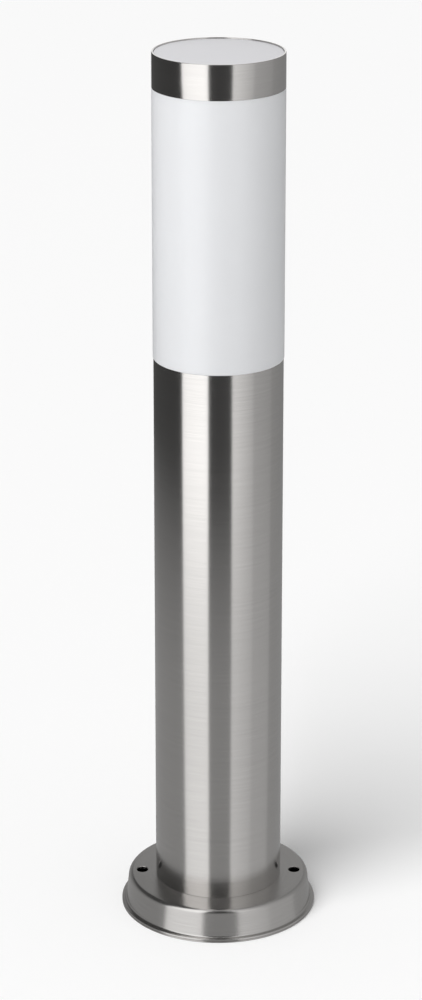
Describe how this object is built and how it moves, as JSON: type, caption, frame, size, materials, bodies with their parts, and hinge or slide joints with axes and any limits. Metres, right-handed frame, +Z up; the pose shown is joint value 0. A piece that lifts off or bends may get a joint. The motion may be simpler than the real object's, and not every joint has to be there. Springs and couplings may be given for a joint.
{
  "type": "bollard light",
  "caption": "Round stainless bollard light: spun base flange for bolting down, brushed tube post, and a lift-off opal head with a steel cap ring over a screw-in lamp.",
  "frame": {"origin": "on the ground, on the post's axis, at the underside of the base flange", "axes": "+Z up the post; the two fixing holes lie on X; the terminal bracket is on the +Y side"},
  "size_m": [0.118, 0.118, 0.531],
  "materials": {
    "brushed_stainless": "brushed round the post's axis",
    "spun_stainless": "spun and brushed in rings",
    "mill_steel": "plain mill finish, welded in",
    "zinc_steel": "bright zinc plate",
    "stainless_screw": "turned stainless",
    "spring_steel": "rolled spring strip",
    "opal_diffuser": "satin opal plastic",
    "opal_disc": "matt opal plastic",
    "black_rubber": "moulded, matt",
    "clear_silicone": "translucent silicone",
    "carrier_plastic": "moulded, fine grain",
    "porcelain": "glazed white porcelain",
    "brass_parts": "machined brass",
    "nickel_shell": "nickel plated, rolled",
    "bronze_leaf": "phosphor bronze strip",
    "terminal_plastic": "moulded polyamide",
    "brown_insulation": "silicone wire insulation",
    "blue_insulation": "silicone wire insulation",
    "earth_insulation": "green and yellow wire insulation",
    "bulb_plastic": "moulded white plastic",
    "bulb_opal": "opal plastic dome",
    "board_aluminium": "white-masked aluminium board",
    "led_phosphor": "yellow phosphor",
    "black_glass": "black vitrite glass"
  },
  "bodies": {
    "post": {"base_flange": "spun_stainless", "base_gasket": "black_rubber", "post_tube": "brushed_stainless", "foot_plate": "mill_steel", "foot_washers": "stainless_screw", "foot_screws": "stainless_screw", "cable_grommet": "black_rubber", "earth_tag": "brass_parts", "earth_washer": "brass_parts", "earth_screw": "zinc_steel", "seat_ring": "mill_steel", "lamp_carrier": "carrier_plastic", "carrier_screws": "stainless_screw", "clip_rivets": "stainless_screw", "lampholder_body": "porcelain", "holder_sleeve": "nickel_shell", "holder_contact": "bronze_leaf", "holder_rivets": "brass_parts", "holder_terminals": "brass_parts", "holder_terminal_screws": "zinc_steel", "holder_screws": "zinc_steel", "terminal_bracket": "zinc_steel", "terminal_block": "terminal_plastic", "terminal_inserts": "brass_parts", "terminal_screws": "zinc_steel", "block_screws": "zinc_steel", "cord_grip": "terminal_plastic", "cord_grip_screws": "zinc_steel", "live_wire": "brown_insulation", "neutral_wire": "blue_insulation", "earth_wire": "earth_insulation", "head_clip_1": "spring_steel", "head_clip_2": "spring_steel", "head_clip_3": "spring_steel"},
    "head": {"diffuser": "opal_diffuser", "cap_ring": "brushed_stainless", "disc_seal": "clear_silicone", "top_disc": "opal_disc", "neck_o_ring": "black_rubber"},
    "bulb_carriage": {"bulb_contact": "brass_parts"},
    "bulb": {"bulb_housing": "bulb_plastic", "bulb_globe": "bulb_opal", "led_board": "board_aluminium", "led_chips": "led_phosphor", "bulb_cap": "nickel_shell", "bulb_insulator": "black_glass"}
  },
  "joints": [
    {"name": "head_lift", "type": "slide", "parent": "post", "child": "head", "axis": [0, 0, 1], "range_m": [0, 0.15], "deforming": ["head_clip_1", "head_clip_2", "head_clip_3"]},
    {"name": "bulb_rise", "type": "slide", "parent": "post", "child": "bulb_carriage", "axis": [0, 0, 1], "range_m": [0, 0.02179]},
    {"name": "bulb_turn", "type": "hinge", "parent": "bulb_carriage", "child": "bulb", "pos_m": [0, 0, 0.36], "axis": [0, 0, 1], "range_deg": [0, 2160]}
  ],
  "couplings": [
    {"joint": "bulb_rise", "follows": "bulb_turn", "m_per_rad": 0.00057757}
  ]
}
